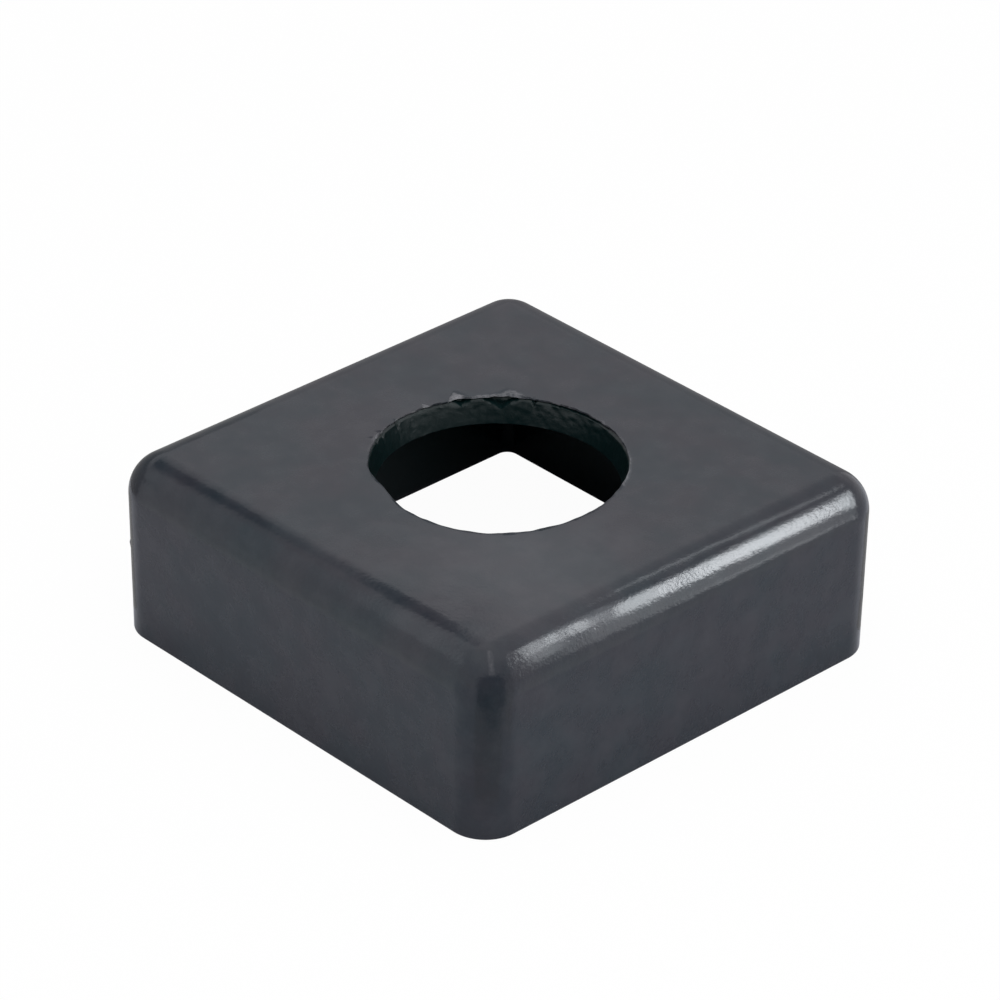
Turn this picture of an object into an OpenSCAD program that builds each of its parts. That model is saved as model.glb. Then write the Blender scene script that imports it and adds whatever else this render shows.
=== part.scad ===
// Square tube end cap with a round hole.
// One moulding: a square plate on a thin skirt that slips over the end of a
// square tube, with a round hole in the middle of the plate. Sides and corners
// are made from one upright section, extruded along the sides and turned round
// the corners, so that the top edge runs into true ball corners. The outside
// draws in a little towards the mouth, and the socket closes in a little
// towards the plate. The hole is a plain bore under a flared lip.
// The cap stands on its mouth: the origin is at the mouth's centre, +Z up.

/* [Tube] */
// Side of the square tube that the cap slips over
tube_w = 50; // [45:1:100]
// Gap on each side of the tube at the mouth
mouth_gap = 0.25; // [0.15:0.05:0.5]

/* [Skirt] */
// Height from the mouth to the top face
cap_h = 19.6; // [14:0.1:40]
// Wall thickness at the mouth
mouth_wall = 1.25; // [1.2:0.05:3]
// How far each outer side draws in on its way down to the mouth
mouth_draw = 0.2; // [0:0.05:0.5]
// Radius of the upright outer corners
corner_r = 4.2; // [4.2:0.1:5]
// Radius of the upright corners inside the socket
socket_corner_r = 1; // [1:0.1:3]
// How far each socket wall leans in on its way up to the plate
socket_lean = 0.15; // [0:0.05:0.15]

/* [Plate] */
// Thickness of the top plate
plate_t = 2.6; // [2.4:0.1:6]
// Radius that rolls the top face into the sides
top_edge_r = 4.2; // [1:0.1:4.2]
// Radius between the plate's underside and the socket walls
socket_edge_r = 0.6; // [0.2:0.1:1.2]

/* [Hole] */
// Diameter of the round hole through the plate
hole_d = 24; // [10:0.5:28]
// How far the lip flares out beyond the hole at the top face
lip_flare = 0.65; // [0.2:0.05:1]
// Depth of the flared lip below the top face
lip_depth = 0.9; // [0.3:0.1:1.5]

/* [Hidden] */
$fn = 96;

// Outer width under the rounded top edge
cap_w = tube_w + 2 * (mouth_gap + mouth_wall + mouth_draw);
// Inner width under the plate, and the socket's depth
socket_w = tube_w + 2 * (mouth_gap - socket_lean);
socket_h = cap_h - plate_t;
// How far a cut runs past the face that it opens
overcut = 1;
anthracite = [0.27, 0.28, 0.30];

// Upright section of one wall, measured outward from x = 0. The wall reaches
// `reach` under its rounded top edge and stands `draw` further in at z = 0.
// `below` carries the same slope on under z = 0.
module wall_section(reach, draw, h, edge_r, below) {
    shoulder_z = h - edge_r;
    foot = reach - draw * (shoulder_z + below) / shoulder_z;
    polygon([[0, -below], [foot, -below], [reach, shoulder_z], [0, shoulder_z]]);
    if (reach > edge_r)
        translate([0, shoulder_z])
            square([reach - edge_r, edge_r]);
    translate([reach - edge_r, shoulder_z])
        intersection() {
            circle(r = edge_r);
            square(edge_r);
        }
}

// Square block with sloping sides, round upright corners and a rounded top edge.
// One side and one corner share the wall's section, and are repeated in four quarters.
module rounded_block(w, draw, h, upright_r, edge_r, below = 0) {
    corner_at = w / 2 - upright_r;
    for (quarter = [0 : 3])
        rotate(90 * quarter) {
            translate([0, corner_at, 0])
                rotate([90, 0, 0])
                    linear_extrude(2 * corner_at)
                        wall_section(w / 2, draw, h, edge_r, below);
            translate([corner_at, corner_at, 0])
                rotate_extrude(angle = 90)
                    wall_section(upright_r, draw, h, edge_r, below);
        }
}

// Plain bore with the flared lip above it
module hole() {
    translate([0, 0, socket_h - overcut])
        cylinder(d = hole_d, h = plate_t + 2 * overcut);
    translate([0, 0, cap_h - lip_depth])
        cylinder(
            h = lip_depth + overcut,
            r1 = hole_d / 2,
            r2 = hole_d / 2 + lip_flare * (lip_depth + overcut) / lip_depth
        );
}

// The whole moulding: outer skin, less the socket and the hole
module end_cap() {
    color(anthracite)
        difference() {
            rounded_block(cap_w, mouth_draw, cap_h, corner_r, top_edge_r);
            rounded_block(socket_w, -socket_lean, socket_h, socket_corner_r, socket_edge_r, overcut);
            hole();
        }
}

end_cap();
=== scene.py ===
"""Looks of the square tube end cap: a dense mesh of the moulding, its plastic, the studio and the camera."""

import math

import bmesh
import bpy
import numpy as np
from mathutils import Matrix, Vector, noise


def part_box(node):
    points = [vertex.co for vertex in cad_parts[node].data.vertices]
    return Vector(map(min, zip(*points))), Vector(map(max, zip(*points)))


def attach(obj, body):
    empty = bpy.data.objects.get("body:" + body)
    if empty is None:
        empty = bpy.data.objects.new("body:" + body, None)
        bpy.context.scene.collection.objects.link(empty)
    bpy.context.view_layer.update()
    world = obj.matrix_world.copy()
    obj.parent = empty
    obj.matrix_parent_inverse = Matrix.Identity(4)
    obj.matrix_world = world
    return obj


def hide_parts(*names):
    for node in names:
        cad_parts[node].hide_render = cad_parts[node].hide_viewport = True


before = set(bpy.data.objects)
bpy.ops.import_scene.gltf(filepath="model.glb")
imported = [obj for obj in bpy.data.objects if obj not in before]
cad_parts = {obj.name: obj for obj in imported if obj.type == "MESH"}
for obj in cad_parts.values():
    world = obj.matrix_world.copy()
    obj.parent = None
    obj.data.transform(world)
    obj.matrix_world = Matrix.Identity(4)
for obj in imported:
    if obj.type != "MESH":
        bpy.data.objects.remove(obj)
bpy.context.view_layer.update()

# ---------------------------------------------------------------- sizes, in millimetres

MM = 0.001
CAP = "end_cap"
box_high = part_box(CAP)[1]
HALF_W = box_high.x / MM
CAP_H = box_high.z / MM

# The rest of the moulding's section, as in the solid
EDGE_R = 4.2
MOUTH_DRAW = 0.2
MOUTH_WALL = 1.25
SOCKET_LEAN = 0.15
SOCKET_CORNER_R = 1.0
SOCKET_EDGE_R = 0.6
PLATE_T = 2.6
HOLE_R = 12.0
LIP_FLARE = 0.65

SHOULDER_Z = CAP_H - EDGE_R
UNDERSIDE_Z = CAP_H - PLATE_T
OUTER_AXIS = HALF_W - EDGE_R
MOUTH_HALF = HALF_W - MOUTH_DRAW
SOCKET_HALF = MOUTH_HALF - MOUTH_WALL
SOCKET_TOP_HALF = SOCKET_HALF - SOCKET_LEAN
SOCKET_AXIS = SOCKET_TOP_HALF - SOCKET_CORNER_R
LIP_R = HOLE_R + LIP_FLARE

# ---------------------------------------------------------------- rings round the moulding

SIDE_STEPS = 112
CORNER_STEPS = 28
AROUND = 4 * (SIDE_STEPS + CORNER_STEPS)
STEP_DEG = 360 / AROUND
# Bearing of each point of a round ring. A quarter starts on the +X side, just past its -Y corner.
BEARINGS = -45 + STEP_DEG * (CORNER_STEPS / 2 + np.arange(AROUND))


def round_ring(radius, z):
    """A ring round the hole. Radius and height are numbers, or one value for each bearing."""
    turn = np.radians(BEARINGS)
    height = np.broadcast_to(z, turn.shape)
    return np.stack([radius * np.cos(turn), radius * np.sin(turn), height], axis=1)


def square_ring(reach, axis, z):
    """A ring round the skirt: `reach` out to each side, with corner arcs centred `axis` out."""
    side = np.linspace(-axis, axis, SIDE_STEPS, endpoint=False)
    turn = np.radians(np.linspace(0, 90, CORNER_STEPS, endpoint=False))
    corner_r = reach - axis
    x = np.concatenate([np.full(SIDE_STEPS, reach), axis + corner_r * np.cos(turn)])
    y = np.concatenate([side, axis + corner_r * np.sin(turn)])
    quarters_x = np.concatenate([x, -y, -x, y])
    quarters_y = np.concatenate([y, x, -y, -x])
    return np.stack([quarters_x, quarters_y, np.full(AROUND, z)], axis=1)


def between(ring_a, ring_b, shares):
    """Rings part of the way from ring_a to ring_b."""
    return [ring_a + (ring_b - ring_a) * share for share in shares]


# ---------------------------------------------------------------- the torn rim of the hole

# Tears in the rim: bearing and half width in degrees, how far the edge is broken back
# from the hole and how far it is broken down, in millimetres
TEARS = (
    (135.0, 9.0, 0.35, 0.10),
    (154.0, 6.0, 0.45, 0.15),
    (121.0, 1.2, 0.10, 0.15),
    (109.0, 1.0, 0.08, 0.10),
    (189.0, 1.2, 0.08, 0.15),
    (201.0, 1.4, 0.10, 0.20),
    (207.0, 1.2, 0.12, 0.15),
)
# How far down the hole's wall the tears still shape it
TEAR_REACH = 0.6
# Chips out of the hole's wall: bearing of the lowest point, half width at the rim in degrees,
# height of the lowest point, depth into the wall
CHIPS = (
    (136.0, 9.0, 18.50, 0.90),
    (153.5, 5.5, 18.95, 0.90),
    (121.0, 1.3, 18.90, 0.25),
    (163.0, 1.6, 19.15, 0.15),
    (201.0, 1.5, 19.10, 0.12),
    (189.0, 1.2, 18.85, 0.12),
    (207.5, 1.2, 19.20, 0.12),
)
# Height over which a chip's edge falls away, and the share of its depth that leans back in
# over it up at the rim
CHIP_EDGE = 0.09
CHIP_OVERHANG = 0.55
# Slow wander of the rim's outline: bearing, half width in degrees, millimetres outward
WANDER = (
    (252.0, 20.0, -0.55),
    (25.0, 30.0, -0.20),
    (100.0, 60.0, 0.14),
    (185.0, 35.0, 0.12),
    (312.0, 48.0, 0.60),
)
# Burrs of pale torn plastic: bearing, half width in degrees, reach out from the rim
BURRS = (
    (130.0, 8.0, 0.85),
    (143.0, 12.0, 0.30),
    (155.5, 4.5, 0.80),
    (171.0, 1.8, 0.50),
    (206.0, 10.0, 0.18),
    (85.0, 2.0, 0.20),
    (70.0, 6.0, 0.12),
    (30.0, 9.0, 0.12),
    (5.0, 5.0, 0.10),
)
# How pale the torn rim is: bearing, half width in degrees, share of the pale colour
PALE_RIM = (
    (130.0, 9.0, 0.75),
    (143.0, 14.0, 0.55),
    (155.5, 5.0, 0.85),
    (171.0, 2.2, 1.00),
    (185.0, 26.0, 0.30),
    (208.0, 14.0, 0.60),
    (112.0, 16.0, 0.35),
    (84.0, 14.0, 0.25),
    (52.0, 34.0, 0.45),
)
# The fine burr all round: height and width, what tearing and each millimetre of width add to
# the height, and the least and most of both
BURR_H = 0.07
BURR_W = 0.10
BURR_H_TORN = 0.06
BURR_H_WIDE = 0.16
BURR_H_LIMITS = (0.01, 0.25)
BURR_W_LIMITS = (0.04, 0.90)
# Rings over the burr, as shares of its width and height, and where the top face meets it
BURR_PROFILE = ((0.3, 1.0), (0.7, 0.8), (1.0, 0.2))
BURR_FOOT = 1.3
# How far the wall is cut back just under the rim: everywhere, and more round one bearing,
# given as bearing, half width in degrees and depth
UNDERCUT = 0.07
GROOVE = (96.0, 30.0, 0.20)
# Rings up to the rim there, as share of the undercut and depth below the rim
UNDERCUT_PROFILE = ((1.0, 0.15), (0.7, 0.08), (0.0, 0.0))
# Depths of the wall's rings below the top face, and how the wall bends on its way up
WALL_DEPTHS = (2.4, 2.1, 1.8, 1.5, 1.3, 1.15, 1.0, 0.9, 0.8, 0.7, 0.6, 0.5, 0.4, 0.3)
WALL_CURVE = 1.05
# Rings of the top face from the hole to the rolled edge, as shares of the way, and how much
# of the rim's drop the first ones keep
PLATE_SHARES = (
    0, 0.012, 0.027, 0.045, 0.07, 0.10, 0.14, 0.19, 0.26, 0.34, 0.43, 0.52, 0.62, 0.72, 0.82, 0.91,
)
PLATE_DROPS = (0.8, 0.45, 0.15)

# The side of the hole that is torn, as bearing and half width, and how torn the other side is
TORN_SIDE = (125, 120)
TORN_LEAST = 0.2
# Unevenness round the rim: seed, bumps in a turn, and size in millimetres
RIM_COARSE = (3.1, 70, 0.16)
RIM_FINE = (8.4, 180, 0.06)
RIM_SAG = (5.7, 90, 0.12)
# Unevenness as a share: of the burr's width and height, and of the rim's paleness
BURR_W_ROUGH = (14.2, 90, 0.8)
BURR_H_ROUGH = (12.9, 60, 1.6)
PALE_ROUGH = (17.5, 60, 1.2)
PALE_LIMITS = (0.3, 1.3)
# Bumps in a turn and size only: each burr's own, with its bearing as the seed, and the wall's,
# with a seed that moves on with the height, so that the unevenness changes slowly up the wall
BURR_OWN_ROUGH = (110, 0.9)
WALL_ROUGH = (110, 0.04)
WALL_SEED = 20
WALL_SEED_PER_MM = 2


def angle_from(bearing):
    """Signed angle of each bearing from the one given, in degrees."""
    return (BEARINGS - bearing + 180) % 360 - 180


def peak(bearing, half_width):
    """1 at a bearing, falling in a straight line to 0 at half_width on either side."""
    return np.clip(1 - np.abs(angle_from(bearing)) / half_width, 0, 1)


def swell(bearing, half_width):
    """1 at a bearing, easing smoothly to 0 at half_width on either side."""
    return 0.5 - 0.5 * np.cos(np.pi * peak(bearing, half_width))


def rough(seed, per_turn, amount):
    """Seeded unevenness round the rim, with about per_turn bumps in a turn."""
    reach = per_turn / (2 * math.pi)
    turn = np.radians(BEARINGS)
    values = [noise.noise(Vector((reach * math.cos(t), reach * math.sin(t), seed))) for t in turn]
    return amount * np.array(values)


def wandering_rim():
    """Radius of the rim as it was cut, before any tear."""
    radius = np.full(AROUND, LIP_R)
    for bearing, half_width, outward in WANDER:
        radius = radius + outward * swell(bearing, half_width)
    return radius


def torn_rim(torn, cut_radius):
    """Radius of the rim as it is torn, and how far it has dropped below the top face."""
    radius = cut_radius + torn * (rough(*RIM_COARSE) + rough(*RIM_FINE))
    drop = torn * np.abs(rough(*RIM_SAG))
    for bearing, half_width, back, down in TEARS:
        radius = radius + back * swell(bearing, half_width)
        drop = drop + down * peak(bearing, half_width)
    return radius, drop


def burr_size(torn):
    """Width and height of the burr round the rim."""
    width = BURR_W * (1 + rough(*BURR_W_ROUGH))
    for bearing, half_width, reach in BURRS:
        width = width + reach * peak(bearing, half_width) * (1 + rough(bearing, *BURR_OWN_ROUGH))
    width = np.clip(width, *BURR_W_LIMITS)
    height = BURR_H * (1 + rough(*BURR_H_ROUGH)) + BURR_H_TORN * torn + BURR_H_WIDE * (width - BURR_W)
    return width, np.clip(height, *BURR_H_LIMITS)


def rim_paleness():
    """Share of the pale colour round the rim."""
    share_here = np.zeros(AROUND)
    for bearing, half_width, share in PALE_RIM:
        share_here = np.maximum(share_here, share * np.clip(2 * peak(bearing, half_width), 0, 1))
    return share_here * np.clip(1 + rough(*PALE_ROUGH), *PALE_LIMITS)


torn = TORN_LEAST + (1 - TORN_LEAST) * swell(*TORN_SIDE)
rim_line = wandering_rim()
rim_r, rim_drop = torn_rim(torn, rim_line)
burr_w, burr_h = burr_size(torn)
pale_rim = rim_paleness()


def chipped(z):
    """How deep the wall is chipped at a height, round the hole."""
    deepest = np.zeros(AROUND)
    for bearing, half_width, lowest, depth in CHIPS:
        edge = CAP_H - (CAP_H - lowest) * peak(bearing, half_width)
        inside = np.clip((z - edge) / CHIP_EDGE, 0, 1)
        overhang = CHIP_OVERHANG * np.clip((z - edge) / (CAP_H - lowest), 0, 1)
        deepest = np.maximum(deepest, depth * inside * (1 - overhang))
    return deepest


def wall_radius(z):
    """Radius of the hole's wall at a height: the tapering bore, then the torn rim."""
    rise = np.clip((z - UNDERSIDE_Z) / PLATE_T, 0, 1)
    near_rim = np.clip(1 - (CAP_H - z) / TEAR_REACH, 0, 1)
    radius = HOLE_R + (rim_line - HOLE_R) * rise ** WALL_CURVE + (rim_r - rim_line) * near_rim
    return radius + chipped(z) + torn * rough(WALL_SEED + WALL_SEED_PER_MM * z, *WALL_ROUGH)


def hole_rings():
    """The hole's wall and the burr round it, from the plate's underside up to the top face."""
    rings = [round_ring(HOLE_R, UNDERSIDE_Z)]
    for depth in WALL_DEPTHS:
        level = CAP_H - depth - rim_drop * (1 - depth / PLATE_T)
        rings.append(round_ring(wall_radius(CAP_H - depth), level))
    edge_z = CAP_H - rim_drop
    bearing, half_width, groove_depth = GROOVE
    undercut = UNDERCUT + groove_depth * swell(bearing, half_width)
    cut_back = undercut + chipped(CAP_H - UNDERCUT_PROFILE[0][1])
    for share, depth in UNDERCUT_PROFILE:
        rings.append(round_ring(rim_r + share * cut_back, edge_z - depth))
    for across, up in BURR_PROFILE:
        rings.append(round_ring(rim_r + across * burr_w, edge_z + up * burr_h))
    return rings


def plate_rings():
    """Top face, from the burr out to the start of the rolled edge."""
    inner = round_ring(rim_r + BURR_FOOT * burr_w, CAP_H)
    outer = square_ring(OUTER_AXIS, OUTER_AXIS, CAP_H)
    rings = between(inner, outer, PLATE_SHARES)
    for ring, share in zip(rings, PLATE_DROPS):
        ring[:, 2] -= share * rim_drop
    return rings


# ---------------------------------------------------------------- the outside and the socket

# Degrees from one ring to the next round the rolled edge
ROLL_STEP = 2.5
# How far the edges of the mouth's flat rim are broken, and the angles of the rings there
EDGE_BREAK = 0.15
BREAK_ANGLES = (0, 30, 60, 90)
# Heights of the skirt's rings: even steps down to one height and on from another, and close
# together between them for the knocks, as first, end and step
UPPER_FOOT = 10.4
FINE_HEIGHTS = (10.2, 8.3, -0.2)
LOWER_HEAD = 7.6
SKIRT_RINGS = 8
# The socket's lowest ring, how many go up its walls, and the angles of those in its edge
SOCKET_FOOT = 0.6
SOCKET_RINGS = 10
SOCKET_EDGE_ANGLES = (22.5, 45, 67.5, 90)
# Rings across the mouth's rim and the plate's underside, as shares of the way inwards
RIM_SHARES = (0.33, 0.67, 1)
UNDERSIDE_SHARES = (0.15, 0.3, 0.45, 0.6, 0.75, 0.88, 0.96)

# Knocks on the upright corners: which way the corner points, height, size, how far it stands out
KNOCKS = (((-1, -1), 9.4, 0.45, 0.14), ((1, 1), 9.2, 0.40, -0.10))
# Painted highlight streak on the ball of the front corner: bearing, the angles it runs between and half
# width in millimetres, then its share of the pale colour, and how much of the half width has all
# of it before it fades over one half width more
HIGHLIGHT_STREAK = (-35.5, 38.0, 67.0, 0.22)
STREAK_PALE = 0.20
STREAK_CORE = 0.4
# Lighter patches on the top face: x, y, radius, share of the pale colour; and how fast they fade
LIGHTER_PATCHES = ((15.0, -12.0, 12.0, 0.13), (-14.5, 0.5, 3.0, 0.05), (-19.0, -9.0, 7.0, 0.02))
LIGHTER_PATCH_FADE = 1.5
# How torn the rim is to look, from the rim's own ring outwards
TORN_ROWS = (1.0, 1.0, 1.0, 0.9, 0.4)
# How much of the painted shade, and of the cut wall's roughness, the socket's inside has
SOCKET_SHADE_SHARE = 0.9
# Points closer than this, in millimetres, are one point, and edges sharper than this stay sharp
WELD = 1e-4
SHARP_DEG = 40


def edge_rings():
    """Rolled top edge with its ball corners, from the top face down to the side."""
    rings = []
    for angle in np.radians(np.arange(90, -0.1, -ROLL_STEP)):
        reach = OUTER_AXIS + EDGE_R * math.cos(angle)
        rings.append(square_ring(reach, OUTER_AXIS, SHOULDER_Z + EDGE_R * math.sin(angle)))
    return rings


def skirt_rings():
    """Outer sides down to the mouth, and the mouth's flat rim with its edges just broken."""
    heights = np.concatenate([
        np.linspace(SHOULDER_Z, UPPER_FOOT, SKIRT_RINGS)[1:],
        np.arange(*FINE_HEIGHTS),
        np.linspace(LOWER_HEAD, 2 * EDGE_BREAK, SKIRT_RINGS),
    ])
    rings = []
    for z in heights:
        reach = HALF_W - MOUTH_DRAW * (SHOULDER_Z - z) / SHOULDER_Z
        rings.append(square_ring(reach, OUTER_AXIS, z))
    for angle in np.radians(BREAK_ANGLES):
        inset = EDGE_BREAK * (1 - math.cos(angle))
        rings.append(square_ring(MOUTH_HALF - inset, OUTER_AXIS, EDGE_BREAK * (1 - math.sin(angle))))
    inner = square_ring(SOCKET_HALF + EDGE_BREAK, SOCKET_AXIS, 0)
    rings += between(rings[-1], inner, RIM_SHARES)
    for angle in np.radians(BREAK_ANGLES[-2::-1]):
        inset = EDGE_BREAK * (1 - math.cos(angle))
        rings.append(square_ring(SOCKET_HALF + inset, SOCKET_AXIS, EDGE_BREAK * (1 - math.sin(angle))))
    return rings


def socket_rings():
    """Socket walls up to the plate, the small radius there, and the plate's underside."""
    shoulder = UNDERSIDE_Z - SOCKET_EDGE_R
    rings = []
    for z in np.linspace(SOCKET_FOOT, shoulder, SOCKET_RINGS):
        reach = SOCKET_HALF - SOCKET_LEAN * z / shoulder
        rings.append(square_ring(reach, SOCKET_AXIS, z))
    for angle in np.radians(SOCKET_EDGE_ANGLES):
        reach = SOCKET_TOP_HALF - SOCKET_EDGE_R * (1 - math.cos(angle))
        rings.append(square_ring(reach, SOCKET_AXIS, shoulder + SOCKET_EDGE_R * math.sin(angle)))
    hole = round_ring(HOLE_R, UNDERSIDE_Z)
    rings += between(rings[-1], hole, UNDERSIDE_SHARES)
    return rings


def knock_corners(points):
    """Raises or dents the small knocks on the upright corners."""
    for (side_x, side_y), height, size, stand in KNOCKS:
        outward = np.array((side_x, side_y, 0)) / math.sqrt(2)
        corner = np.array((side_x, side_y, 0)) * OUTER_AXIS + outward * EDGE_R
        middle = corner + np.array((0, 0, height))
        away = np.linalg.norm(points - middle, axis=1)
        points += np.outer(stand * np.clip(1 - away / size, 0, 1), outward)


def in_highlight_streak(points):
    """How far each point lies in the painted highlight streak on the front corner."""
    bearing, lowest, highest, half_width = HIGHLIGHT_STREAK
    turn = math.radians(bearing)
    centre = np.array((OUTER_AXIS, -OUTER_AXIS, SHOULDER_Z))
    nearest = np.full(len(points), np.inf)
    for angle in np.radians(np.arange(lowest, highest, 1.0)):
        level = math.cos(angle)
        out = np.array((level * math.cos(turn), level * math.sin(turn), math.sin(angle)))
        nearest = np.minimum(nearest, np.linalg.norm(points - centre - out * EDGE_R, axis=1))
    return np.clip(1 + STREAK_CORE - nearest / half_width, 0, 1)


def lighter_patch(points):
    """Share of the pale colour in the lighter patches of the top face."""
    share = np.zeros(len(points))
    for x, y, radius, strength in LIGHTER_PATCHES:
        away = np.hypot(points[:, 0] - x, points[:, 1] - y) / radius
        share += strength * np.exp(-LIGHTER_PATCH_FADE * away ** 2)
    return share * (points[:, 2] > SHOULDER_Z)


def marks(groups, points):
    """For each point: how pale it is torn or painted with the highlight streak, how much painted shade it
    has where it was cut or lies inside, and how much it lies in the lighter patches.
    """
    counts = [len(group) for group in groups]
    scuff_and_highlight = np.zeros((sum(counts), AROUND))
    cut = np.zeros((sum(counts), AROUND))
    rim_row = counts[0] - len(BURR_PROFILE) - 1
    # The hole's wall below the rim and the socket's inside are darkened with painted shade
    cut[:rim_row] = 1
    cut[-counts[-1]:] = SOCKET_SHADE_SHARE
    for row, share in enumerate(TORN_ROWS, start=rim_row):
        scuff_and_highlight[row] = share * pale_rim
    # The pale share holds the torn rim and the painted highlight streak on the front corner
    scuff_and_highlight = np.maximum(scuff_and_highlight.ravel(), STREAK_PALE * in_highlight_streak(points))
    return scuff_and_highlight, cut.ravel(), lighter_patch(points)


def moulding():
    """The whole cap as one closed mesh of rings, with its marks at each point."""
    groups = (hole_rings(), plate_rings(), edge_rings(), skirt_rings(), socket_rings())
    rings = [ring for group in groups for ring in group]
    points = np.concatenate(rings)
    knock_corners(points)

    bm = bmesh.new()
    layers = [bm.verts.layers.float.new(name) for name in ("scuff_and_highlight", "cut", "lighter_patch")]
    for point, *values in zip(points * MM, *marks(groups, points)):
        vert = bm.verts.new(point)
        for layer, value in zip(layers, values):
            vert[layer] = value
    bm.verts.ensure_lookup_table()
    for row in range(len(rings)):
        this = row * AROUND
        following = (row + 1) % len(rings) * AROUND
        for i in range(AROUND):
            j = (i + 1) % AROUND
            corners = (this + i, this + j, following + j, following + i)
            bm.faces.new([bm.verts[c] for c in corners])
    bmesh.ops.remove_doubles(bm, verts=bm.verts, dist=WELD * MM)
    bmesh.ops.recalc_face_normals(bm, faces=bm.faces)
    mesh = bpy.data.meshes.new("cap_moulding")
    bm.to_mesh(mesh)
    bm.free()
    mesh.polygons.foreach_set("use_smooth", [True] * len(mesh.polygons))
    mesh.set_sharp_from_angle(angle=math.radians(SHARP_DEG))
    piece = bpy.data.objects.new("cap_moulding", mesh)
    bpy.context.scene.collection.objects.link(piece)
    return piece


# ---------------------------------------------------------------- materials

# Linear colours: the plastic in its cooler and warmer clouds; pale where torn, in the lighter patches and in
# the painted highlight streak; and the painted shade of the hole's wall and the inside
BODY_COOL = (0.0095, 0.0165, 0.0240)
BODY_WARM = (0.0162, 0.0174, 0.0252)
PALE = (0.195, 0.195, 0.210)
PAINTED_SHADE = (0.0014, 0.0085, 0.0092)

# Noises in the plastic: features a millimetre, detail and roughness
CLOUDS = (0.13, 3, 0.6)
HAZE = (0.30, 4, 0.6)
FLECKS = (2.4, 3, 0.6)
WAVES = (0.35, 1, 0.4)
PEEL = (2.2, 2, 0.5)
PITS = (2.8, 3, 0.6)
GRAIN = (5.0, 3, 0.6)
# What is made of them: the range of the noise, then what it becomes, as a share of a colour
CLOUDS_USED = (0.38, 0.62, 0.0, 1.0)
HAZE_USED = (0.42, 0.66, 0.0, 0.045)
FLECKS_USED = (0.36, 0.60, 0.35, 1.0)
# Roughness of the sound plastic, from the grain, of what was cut or lies inside, and of torn plastic
SATIN = (0.3, 0.7, 0.13, 0.19)
CUT_ROUGHNESS = 0.28
TORN_ROUGHNESS = 0.75
# Heights of the bumps in millimetres, the finest first. The pits are on the rolled edge only.
GRAIN_H = 0.004
PEEL_H = 0.014
WAVES_H = 0.040
PITS_H = 0.022
# Where the pits begin and are full, by how far the normal's Z is from 0 and 1, whichever is nearer
ROLLED = (0.05, 0.30)
IOR = 1.4


def new_material(name):
    """An empty material and its node tree."""
    material = bpy.data.materials.new(name)
    material.use_nodes = True
    material.node_tree.nodes.clear()
    return material, material.node_tree


def add(tree, kind, settings=None, **inputs):
    """Adds a node. Settings are its properties; inputs are values or sockets to link.

    An input is given by its name, or as i0, i1 and so on by its number.
    """
    node = tree.nodes.new(kind)
    for name, value in (settings or {}).items():
        setattr(node, name, value)
    for name, value in inputs.items():
        numbered = name[0] == "i" and name[1:].isdigit()
        socket = node.inputs[int(name[1:]) if numbered else name]
        if isinstance(value, bpy.types.NodeSocket):
            tree.links.new(value, socket)
        else:
            socket.default_value = value
    return node


def calc(tree, operation, first, second):
    """Result of a sum on two values or sockets."""
    return add(tree, "ShaderNodeMath", {"operation": operation}, i0=first, i1=second).outputs[0]


def part_way(tree, share, first, second):
    """Value part of the way from the first to the second."""
    return add(tree, "ShaderNodeMix", Factor=share, A=first, B=second).outputs["Result"]


def mixed(tree, share, first, second):
    """Colour part of the way from the first to the second. Each is a colour or a socket."""
    node = add(tree, "ShaderNodeMix", {"data_type": "RGBA"}, Factor=share)
    for name, value in (("A", first), ("B", second)):
        if isinstance(value, bpy.types.NodeSocket):
            tree.links.new(value, node.inputs[name])
        else:
            node.inputs[name].default_value = (*value, 1)
    return node.outputs["Result"]


def ramp(tree, value, low, high, to_low=0.0, to_high=1.0):
    """Maps value from low..high to to_low..to_high."""
    fields = {"From Min": low, "From Max": high, "To Min": to_low, "To Max": to_high}
    return add(tree, "ShaderNodeMapRange", Value=value, **fields).outputs["Result"]


def noise_at(tree, place, per_mm, detail, roughness):
    """Noise with about per_mm features a millimetre."""
    fields = {"Vector": place, "Scale": per_mm / MM, "Detail": detail, "Roughness": roughness}
    return add(tree, "ShaderNodeTexNoise", **fields).outputs["Fac"]


def bump(tree, height, millimetres, strength=1.0, **under):
    """Normal of a bump of that many millimetres, over the normal of another."""
    fields = {"Strength": strength, "Distance": millimetres * MM, "Height": height}
    return add(tree, "ShaderNodeBump", **fields, **under).outputs["Normal"]


def mark(tree, name):
    """One of the piece's marks, as stored at its points."""
    return add(tree, "ShaderNodeAttribute", {"attribute_name": name}).outputs["Fac"]


def surface(tree, shader, output="ShaderNodeOutputMaterial"):
    """Makes a shader the surface of its material, or of the world."""
    tree.links.new(shader.outputs[0], add(tree, output).inputs["Surface"])


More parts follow.
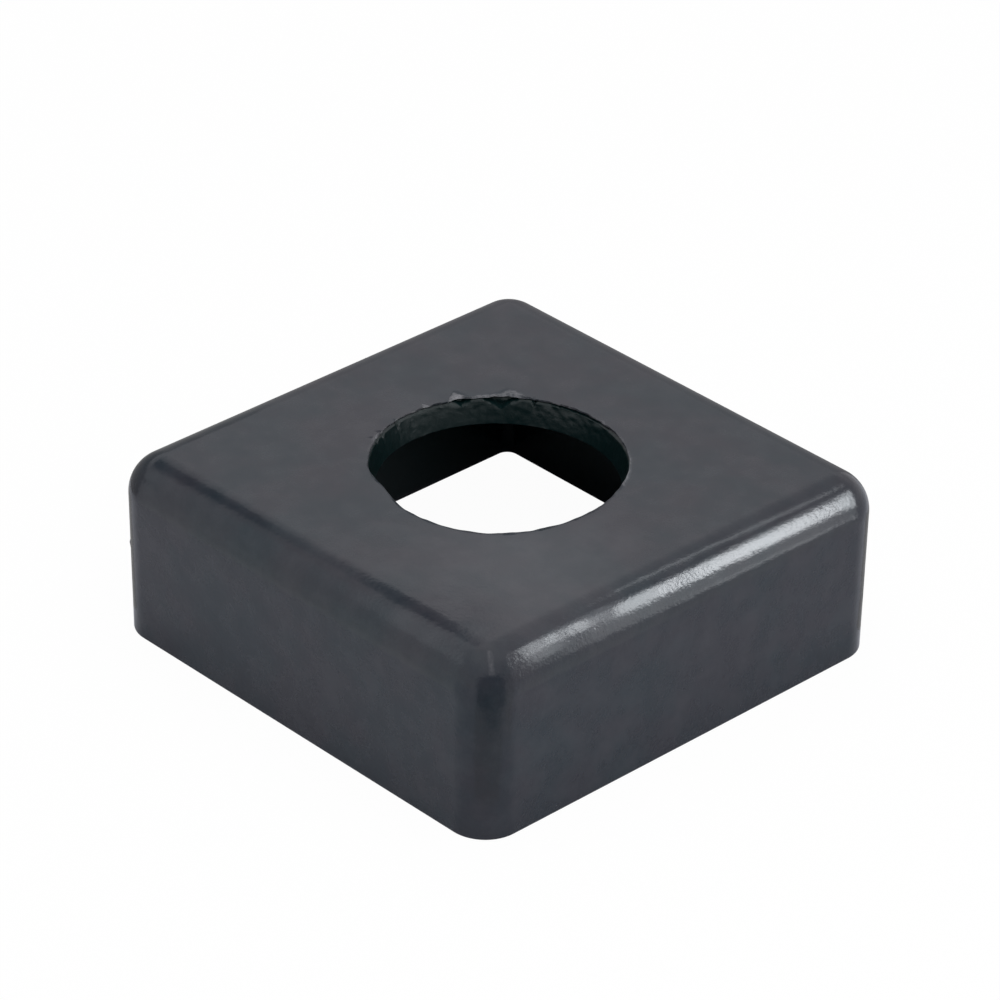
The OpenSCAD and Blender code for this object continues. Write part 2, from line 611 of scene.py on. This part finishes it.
def plastic():
    """Satin anthracite plastic: cloudy colour with its wear and lighter patches, a painted highlight streak,
    painted shade on the hole's wall and inside, and a faint orange-peel skin.
    """
    material, tree = new_material("satin_anthracite_plastic")
    coordinates = add(tree, "ShaderNodeTexCoord").outputs
    place = coordinates["Object"]
    grain = noise_at(tree, place, *GRAIN)
    cut = mark(tree, "cut")

    clouds = ramp(tree, noise_at(tree, place, *CLOUDS), *CLOUDS_USED)
    body = mixed(tree, clouds, BODY_COOL, BODY_WARM)
    haze = ramp(tree, noise_at(tree, place, *HAZE), *HAZE_USED)
    hazy = mixed(tree, calc(tree, "ADD", mark(tree, "lighter_patch"), haze), body, PALE)
    flecks = ramp(tree, noise_at(tree, place, *FLECKS), *FLECKS_USED)
    # Pale where the rim is torn, and where the streak on the front corner is a painted highlight
    pale = calc(tree, "MULTIPLY", mark(tree, "scuff_and_highlight"), flecks)
    # The hole's wall and the socket's inside take the dark colour of the painted shade
    colour = mixed(tree, cut, mixed(tree, pale, hazy, PALE), PAINTED_SHADE)

    smooth = part_way(tree, cut, ramp(tree, grain, *SATIN), CUT_ROUGHNESS)
    roughness = part_way(tree, pale, smooth, TORN_ROUGHNESS)

    fine = bump(tree, grain, GRAIN_H)
    skin = bump(tree, noise_at(tree, place, *PEEL), PEEL_H, Normal=fine)
    whole = bump(tree, noise_at(tree, place, *WAVES), WAVES_H, Normal=skin)
    # The slope is 0 where the skin is level or upright, and greatest half way round the roll
    upward = add(tree, "ShaderNodeSeparateXYZ", Vector=coordinates["Normal"]).outputs["Z"]
    slope = calc(tree, "PINGPONG", upward, 0.5)
    pits = noise_at(tree, place, *PITS)
    normal = bump(tree, pits, PITS_H, strength=ramp(tree, slope, *ROLLED), Normal=whole)

    shader = add(tree, "ShaderNodeBsdfPrincipled", Roughness=roughness, IOR=IOR, Normal=normal)
    tree.links.new(colour, shader.inputs["Base Color"])
    surface(tree, shader)
    return material


def seen_directly(tree):
    """1 for what the camera sees, straight or in a gloss or through glass, and 0 for other light."""
    rays = add(tree, "ShaderNodeLightPath").outputs
    gloss = calc(tree, "MAXIMUM", rays["Is Camera Ray"], rays["Is Glossy Ray"])
    return calc(tree, "MAXIMUM", gloss, rays["Is Transmission Ray"])


# ---------------------------------------------------------------- viewpoint

# The photograph's viewpoint, found by fitting the cap's outline and rims: degrees and metres
AZIMUTH = 46.46
ELEVATION = 31.02
ROLL = 0.86
DISTANCE = 0.5046
LENS_MM = 186.0
SENSOR_MM = 36
NEAREST_SEEN = 0.01
TARGET = Vector((-0.00139, 0.00155, 0.01412))


def towards_viewpoint():
    """Unit vector from the target to the viewpoint."""
    azimuth, elevation = math.radians(AZIMUTH), math.radians(ELEVATION)
    level = math.cos(elevation)
    return Vector((math.sin(azimuth) * level, -math.cos(azimuth) * level, math.sin(elevation)))


BACK = towards_viewpoint()
EYE = TARGET + BACK * DISTANCE

# ---------------------------------------------------------------- studio

# Brightness of the world as a light and as a sight, and its tint, where 1 is white
SKY_LIGHT = 0.42
SKY_SEEN = 1.0
SKY_TINT = (0.970, 0.955, 0.980)
# The floor: size in metres, its paint, its colour in a gloss, and the share of plain white it shows.
# In a gloss that share grows from none to all of it with the distance to the floor.
FLOOR_SIZE = 6
FLOOR_PAINT = 0.88
FLOOR_SEEN = (0.88, 0.905, 0.975)
FLOOR_WHITE = 0.97
FLOOR_FADE = (0.045, 0.22)
# Softbox over the cap and a fill on its right: place and size in metres, and brightness. A gloss
# sees neither, only a card of the softbox's size and height, straight over the cap.
SOFTBOX_PLACE = (0.03, 0.0, 0.60)
SOFTBOX_SIZE = 0.7
SOFTBOX_LIGHT = 1.6
SOFTBOX_SEEN = 1.2
FILL_PLACE = (0.40, -0.08, 0.32)
FILL_SIZE = 0.3
FILL_LIGHT = 2.4
# What the top face mirrors, far behind the cap: a backdrop's distance, half width, foot and head
# in metres, then the two heights between which it brightens and its brightness at both
BACKDROP_AWAY = 0.60
BACKDROP_HALF_W = 0.60
BACKDROP_FOOT = 0.20
BACKDROP_HEAD = 0.60
BACKDROP_FADE = (0.360, 0.415)
BACKDROP_SEEN = (0.83, 1.12)

# Lamps and cards that only a gloss sees, each placed where the viewpoint's own line of sight goes
# once the rolled edge has mirrored it. Edge, distance in metres and brightness, then for each
# end: place along the edge, and the angles round the roll between which it shows
EDGE_CARDS = (
    # the long lamp along the right edge, and the row of small ones before it
    ("+X", 0.060, 20.0, (-4.0, 34.0, 50.5), (21.5, 28.5, 44.5)),
    ("+X", 0.012, 13.5, (-9.4, 37.5, 50.5), (-3.0, 35.0, 50.5)),
    ("+X", 0.012, 9.0, (21.3, 28.0, 49.0), (24.0, 27.0, 51.0)),
    ("+X", 0.012, 7.5, (-12.0, 40.5, 51.0), (-10.8, 39.5, 50.0)),
    ("+X", 0.012, 15.0, (-15.0, 42.0, 54.0), (-12.8, 41.0, 53.0)),
    ("+X", 0.012, 17.0, (-17.7, 44.0, 54.5), (-16.4, 43.0, 54.0)),
    ("+X", 0.012, 8.5, (-20.9, 41.0, 57.0), (-18.6, 40.0, 56.0)),
    ("+X", 0.012, 4.5, (-20.5, 31.0, 43.0), (-16.5, 33.0, 43.0)),
    # the soft fringe over them
    ("+X", 0.061, 3.0, (-9.0, 50.0, 57.5), (21.5, 44.0, 51.0)),
    ("+X", 0.013, 2.6, (-20.0, 52.0, 59.5), (-9.5, 50.5, 57.2)),
    # the long lamp's dimmer skirt, and the bright lines under and over it
    ("+X", 0.050, 2.9, (-17.5, 24.5, 41.0), (-1.0, 16.0, 35.0)),
    ("+X", 0.050, 2.7, (-1.0, 16.0, 35.0), (22.5, 12.0, 29.0)),
    ("+X", 0.049, 5.5, (-4.0, 18.7, 20.7), (22.5, 12.5, 14.5)),
    ("+X", 0.060, 6.0, (-7.0, 67.5, 69.5), (22.0, 57.5, 59.7)),
    # the dark gap over the left edge, and the pale panels below it
    ("-Y", 0.060, 0.25, (-25.5, 55.0, 71.0), (-5.0, 64.5, 76.0)),
    ("-Y", 0.060, 0.80, (-4.5, 64.0, 76.0), (8.0, 67.0, 79.0)),
    ("-Y", 0.060, 0.15, (8.5, 65.0, 82.0), (22.0, 72.0, 92.0)),
    ("-Y", 0.080, 1.80, (13.5, 42.0, 60.0), (27.0, 40.0, 75.0)),
    ("-Y", 0.120, 1.12, (-24.0, 18.0, 54.0), (24.0, 18.0, 58.0)),
    # the foot of both rolls, as bright as the side under it
    ("-Y", 0.030, 1.01, (-24.0, 3.0, 18.0), (24.0, 3.0, 18.0)),
    ("+X", 0.030, 1.05, (-24.0, 3.0, 18.5), (24.0, 3.0, 11.5)),
)
LAMP_TINT = (0.93, 0.97, 1.0)
# Louvres that hide the right edge's lamps from the hole: each runs along a line of sight, between
# two places along the edge with the angle round the roll at each, and from one distance to another
LOUVRES = (
    ((-9.5, 58.0), (23.0, 51.6)),
    ((-22.0, 60.5), (-9.5, 58.0)),
)
LOUVRE_REACH = (0.003, 0.064)
LOUVRE_SEEN = 0.7
# Dim cards before the front corner: bearing and brightness, then distance from the corner,
# height and half width of the near and far edges, in metres
CORNER_CARDS = (
    # rising from the floor: the dark patch on the ball, and its softer right side
    (-27.0, 0.25, (0.0165, 0.0005, 0.0160), (0.30, 0.25, 0.25)),
    (24.0, 0.70, (0.0165, 0.0005, 0.0035), (0.30, 0.36, 0.0638)),
    # flat on the floor, close to the corner
    (-34.5, 0.68, (0.0030, 0.0003, 0.0042), (0.0170, 0.0003, 0.0155)),
    # upright, some way off
    (-43.5, 0.45, (0.25, 0.035, 0.14), (0.25, 0.17, 0.14)),
)
# The flag behind the -X side, in metres: gap to the cap, reach away from it, height of its foot
# and its top, what it covers of Y at both, and how its brightness grows with height
FLAG_GAP = 0.005
FLAG_REACH = 0.30
FLAG_HEIGHTS = (0.0005, 0.21)
FLAG_FOOT_Y = (-0.023, 0.06)
FLAG_TOP_Y = (0.16, 0.46)
FLAG_SEEN = 0.95
FLAG_CURVE = 0.4
# Small flags: one flat on the floor beside the left corner, and again beside the right one, and
# one upright beside the left corner's ball. Each has what it covers of two axes, its place on
# the third, in metres, and its brightness.
FLOOR_FLAG_X = (-0.0275, -0.055)
FLOOR_FLAG_Y = (-0.0272, 0.0)
FLOOR_FLAG_Z = 0.0004
FLOOR_FLAG_SEEN = 0.45
BALL_FLAG_X = -0.040
BALL_FLAG_Y = (-0.042, 0.002)
BALL_FLAG_Z = (0.010, 0.028)
BALL_FLAG_SEEN = 0.35


def floor_material():
    """Pale floor that shows as the white background, and still keeps the cap's shadow.

    A gloss close to the floor sees more of the floor's own shaded colour.
    """
    material, tree = new_material("pale_floor")
    rays = add(tree, "ShaderNodeLightPath").outputs
    glossy = rays["Is Glossy Ray"]
    in_gloss = ramp(tree, rays["Ray Length"], *FLOOR_FADE, 0.0, FLOOR_WHITE)
    white_share = part_way(tree, glossy, FLOOR_WHITE, in_gloss)
    paint_in_gloss = tuple(FLOOR_PAINT * channel for channel in FLOOR_SEEN)
    paint_colour = mixed(tree, glossy, (FLOOR_PAINT,) * 3, paint_in_gloss)
    paint = add(tree, "ShaderNodeBsdfDiffuse", Color=paint_colour)
    white = mixed(tree, glossy, (1, 1, 1), FLOOR_SEEN)
    glow = add(tree, "ShaderNodeEmission", Color=white, Strength=1.0)
    seen = calc(tree, "MULTIPLY", seen_directly(tree), white_share)
    surface(tree, add(tree, "ShaderNodeMixShader", i0=seen, i1=paint.outputs[0], i2=glow.outputs[0]))
    return material


def card_material(brightness, tint=(1, 1, 1)):
    """An even card."""
    material, tree = new_material(f"card_{brightness}")
    surface(tree, add(tree, "ShaderNodeEmission", Color=(*tint, 1), Strength=brightness))
    return material


def graded_material(foot_height, top_height, foot_brightness, top_brightness, curve=1.0):
    """A card whose brightness goes from one value to another between two heights."""
    material, tree = new_material("graded_card")
    place = add(tree, "ShaderNodeTexCoord").outputs["Object"]
    height = add(tree, "ShaderNodeSeparateXYZ", Vector=place).outputs["Z"]
    share = calc(tree, "POWER", ramp(tree, height, foot_height, top_height), curve)
    strength = ramp(tree, share, 0, 1, foot_brightness, top_brightness)
    surface(tree, add(tree, "ShaderNodeEmission", Color=(*SKY_TINT, 1), Strength=strength))
    return material


def studio():
    """The world and the floor."""
    world = bpy.data.worlds.new("studio")
    bpy.context.scene.world = world
    world.use_nodes = True
    tree = world.node_tree
    tree.nodes.clear()
    strength = part_way(tree, seen_directly(tree), SKY_LIGHT, SKY_SEEN)
    sky = add(tree, "ShaderNodeBackground", Color=(*SKY_TINT, 1), Strength=strength)
    surface(tree, sky, "ShaderNodeOutputWorld")

    bpy.ops.mesh.primitive_plane_add(size=FLOOR_SIZE)
    floor = bpy.context.object
    floor.name = "floor"
    floor.data.materials.append(floor_material())


def gloss_card(name, corners, material):
    """A four-cornered card that only a gloss sees."""
    mesh = bpy.data.meshes.new(name)
    mesh.from_pydata(corners, [], [(0, 1, 2, 3)])
    mesh.materials.append(material)
    card = bpy.data.objects.new(name, mesh)
    bpy.context.scene.collection.objects.link(card)
    card.visible_camera = False
    card.visible_diffuse = False
    card.visible_transmission = False
    card.visible_shadow = False


def mirrored(edge, along, angle, distance):
    """Where the viewpoint looks, some distance on from the rolled edge that mirrors it."""
    level, upright = math.cos(math.radians(angle)), math.sin(math.radians(angle))
    if edge == "+X":
        out = Vector((level, 0, upright))
        middle = Vector((OUTER_AXIS, along, SHOULDER_Z))
    else:
        out = Vector((0, -level, upright))
        middle = Vector((along, -OUTER_AXIS, SHOULDER_Z))
    spot = (middle + out * EDGE_R) * MM
    return spot + (spot - EYE).normalized().reflect(out) * distance


def edge_cards():
    """What the rolled edges mirror, and the louvres over the right one's lamps."""
    for edge, distance, brightness, near, far in EDGE_CARDS:
        (near_place, near_low, near_high), (far_place, far_low, far_high) = near, far
        corners = [
            mirrored(edge, near_place, near_low, distance),
            mirrored(edge, near_place, near_high, distance),
            mirrored(edge, far_place, far_high, distance),
            mirrored(edge, far_place, far_low, distance),
        ]
        gloss_card("edge_card", corners, card_material(brightness, LAMP_TINT))
    close, distant = LOUVRE_REACH
    for (start, start_angle), (end, end_angle) in LOUVRES:
        corners = [
            mirrored("+X", start, start_angle, close),
            mirrored("+X", start, start_angle, distant),
            mirrored("+X", end, end_angle, distant),
            mirrored("+X", end, end_angle, close),
        ]
        gloss_card("louvre", corners, card_material(LOUVRE_SEEN))


def corner_cards():
    """What the front corner mirrors."""
    corner = Vector((HALF_W, -HALF_W, 0)) * MM
    for bearing, brightness, near, far in CORNER_CARDS:
        turn = math.radians(bearing)
        ahead = Vector((math.cos(turn), math.sin(turn), 0))
        across = Vector((-ahead.y, ahead.x, 0))
        corners = []
        for (distance, height, half_width), sides in ((near, (-1, 1)), (far, (1, -1))):
            middle = corner + ahead * distance + Vector((0, 0, height))
            corners += [middle + across * half_width * side for side in sides]
        gloss_card("corner_card", corners, card_material(brightness))


def ceiling_card():
    """What a gloss sees of the softbox."""
    half = SOFTBOX_SIZE / 2
    sides = ((-half, -half), (half, -half), (half, half), (-half, half))
    corners = [(x, y, SOFTBOX_PLACE[2]) for x, y in sides]
    gloss_card("ceiling_card", corners, card_material(SOFTBOX_SEEN))


def backdrop_card():
    """What the top face mirrors, brighter the higher it is."""
    away = Vector((-BACK.x, -BACK.y, 0)).normalized()
    across = Vector((-away.y, away.x, 0)) * BACKDROP_HALF_W
    corners = []
    for height, sides in ((BACKDROP_FOOT, (-1, 1)), (BACKDROP_HEAD, (1, -1))):
        middle = away * BACKDROP_AWAY + Vector((0, 0, height))
        corners += [middle + across * side for side in sides]
    gloss_card("backdrop_card", corners, graded_material(*BACKDROP_FADE, *BACKDROP_SEEN))


def over_diagonal(corners):
    """The same corners on the other side of the diagonal through the front and back corners."""
    return [(-y, -x, z) for x, y, z in corners]


def flags():
    """A flag behind each of the two far sides, and small ones at the corners beside them."""
    near = HALF_W * MM + FLAG_GAP
    far = near + FLAG_REACH
    foot, top = FLAG_HEIGHTS
    corners = [
        (-near, FLAG_FOOT_Y[0], foot),
        (-near, FLAG_FOOT_Y[1], foot),
        (-far, FLAG_TOP_Y[1], top),
        (-far, FLAG_TOP_Y[0], top),
    ]
    material = graded_material(0, top, 0, FLAG_SEEN, FLAG_CURVE)
    gloss_card("flag", corners, material)
    gloss_card("flag", over_diagonal(corners), material)

    (near, far), (front, back) = FLOOR_FLAG_X, FLOOR_FLAG_Y
    sides = ((near, front), (near, back), (far, back), (far, front))
    corners = [(x, y, FLOOR_FLAG_Z) for x, y in sides]
    gloss_card("corner_flag", corners, card_material(FLOOR_FLAG_SEEN))
    gloss_card("corner_flag", over_diagonal(corners), card_material(FLOOR_FLAG_SEEN))

    (front, back), (foot, top) = BALL_FLAG_Y, BALL_FLAG_Z
    sides = ((front, foot), (back, foot), (back, top), (front, top))
    corners = [(BALL_FLAG_X, y, z) for y, z in sides]
    gloss_card("ball_flag", corners, card_material(BALL_FLAG_SEEN))


def area_lamp(name, place, along, size, brightness):
    """Square lamp that faces the cap's top and that no gloss sees, with one side along a direction."""
    data = bpy.data.lights.new(name, "AREA")
    data.shape = "RECTANGLE"
    data.size = size
    data.size_y = size
    data.energy = brightness * math.pi * size * size
    cap_top = Vector((0, 0, CAP_H * MM))
    back = (Vector(place) - cap_top).normalized()
    side = Vector(along).cross(back).normalized()
    lamp = bpy.data.objects.new(name, data)
    turn = Matrix((side, back.cross(side), back)).transposed()
    lamp.matrix_world = Matrix.Translation(Vector(place)) @ turn.to_4x4()
    lamp.visible_glossy = False
    bpy.context.scene.collection.objects.link(lamp)


def lamps():
    """The softbox over the cap and the fill on its right."""
    area_lamp("top_softbox", SOFTBOX_PLACE, (1, 0, 0), SOFTBOX_SIZE, SOFTBOX_LIGHT)
    area_lamp("right_fill", FILL_PLACE, (0, 0, 1), FILL_SIZE, FILL_LIGHT)


def camera():
    """The camera at the photograph's viewpoint."""
    data = bpy.data.cameras.new("camera")
    data.lens = LENS_MM
    data.sensor_width = SENSOR_MM
    data.clip_start = NEAREST_SEEN
    eye = bpy.data.objects.new("camera", data)
    turn = BACK.to_track_quat("Z", "Y").to_matrix() @ Matrix.Rotation(math.radians(ROLL), 3, "Z")
    eye.matrix_world = Matrix.Translation(EYE) @ turn.to_4x4()
    bpy.context.scene.collection.objects.link(eye)
    bpy.context.scene.camera = eye


# ---------------------------------------------------------------- assembly

bpy.context.scene.view_settings.view_transform = "Standard"
cap = moulding()
cap.data.materials.append(plastic())
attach(cap, "root")
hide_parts(CAP)
studio()
edge_cards()
corner_cards()
ceiling_card()
backdrop_card()
flags()
lamps()
camera()
